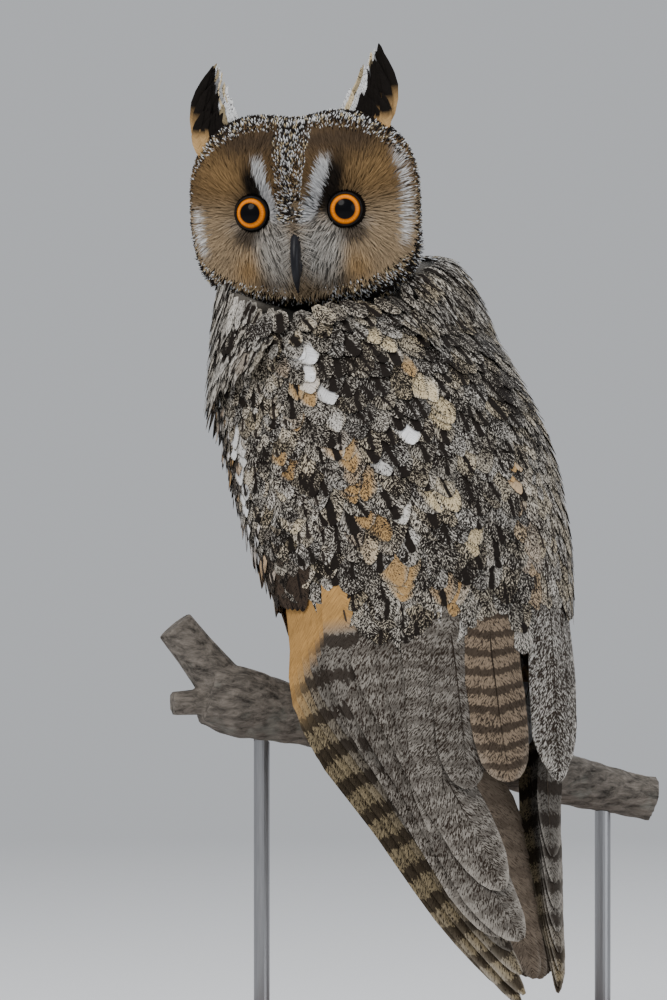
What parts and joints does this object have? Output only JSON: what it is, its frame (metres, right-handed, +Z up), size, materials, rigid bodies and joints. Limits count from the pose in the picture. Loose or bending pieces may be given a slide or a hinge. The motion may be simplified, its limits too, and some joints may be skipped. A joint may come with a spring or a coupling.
{
  "type": "long-eared owl on a display perch",
  "caption": "Life-size long-eared owl seen from behind with its head turned back, gripping a cut branch on a plain rod stand.",
  "frame": {"origin": "The middle of the stand base's underside, on the floor.", "axes": "+Z is up. The picture looks along +Y, and +X is to its right. The owl faces +Y and -X with its back to the camera, and its head is turned round towards -Y."},
  "size_m": [0.1914, 0.142, 0.3761],
  "materials": {
    "body_feathers": "soft, matt feathers",
    "flight_feathers": "smooth, matt feathers",
    "face_feathers": "fine, matt feathers",
    "tuft_feathers": "smooth, matt feathers",
    "leg_feathers": "short, matt feathers",
    "eye": "wet and glossy",
    "horn": "smooth horn with a dull gloss",
    "bark": "rough bark",
    "stand_wood": "waxed dark oak",
    "stand_steel": "satin"
  },
  "bodies": {
    "root": {"torso": "body_feathers", "neck": "body_feathers", "head": "face_feathers", "eye_left": "eye", "eye_right": "eye", "bill_upper": "horn", "bill_lower": "horn", "ear_tuft_left": "tuft_feathers", "ear_tuft_right": "tuft_feathers", "wing_left_arm": "flight_feathers", "wing_left_hand": "flight_feathers", "wing_right_arm": "flight_feathers", "wing_right_hand": "flight_feathers", "tail": "flight_feathers", "leg_left": "leg_feathers", "leg_right": "leg_feathers", "foot_left": "leg_feathers", "foot_right": "leg_feathers", "foot_left_claw_1": "horn", "foot_left_claw_2": "horn", "foot_left_claw_3": "horn", "foot_left_claw_4": "horn", "foot_right_claw_1": "horn", "foot_right_claw_2": "horn", "foot_right_claw_3": "horn", "foot_right_claw_4": "horn", "perch": "bark", "stand_rod_left": "stand_steel", "stand_rod_right": "stand_steel", "stand_base": "stand_wood"}
  },
  "joints": []
}
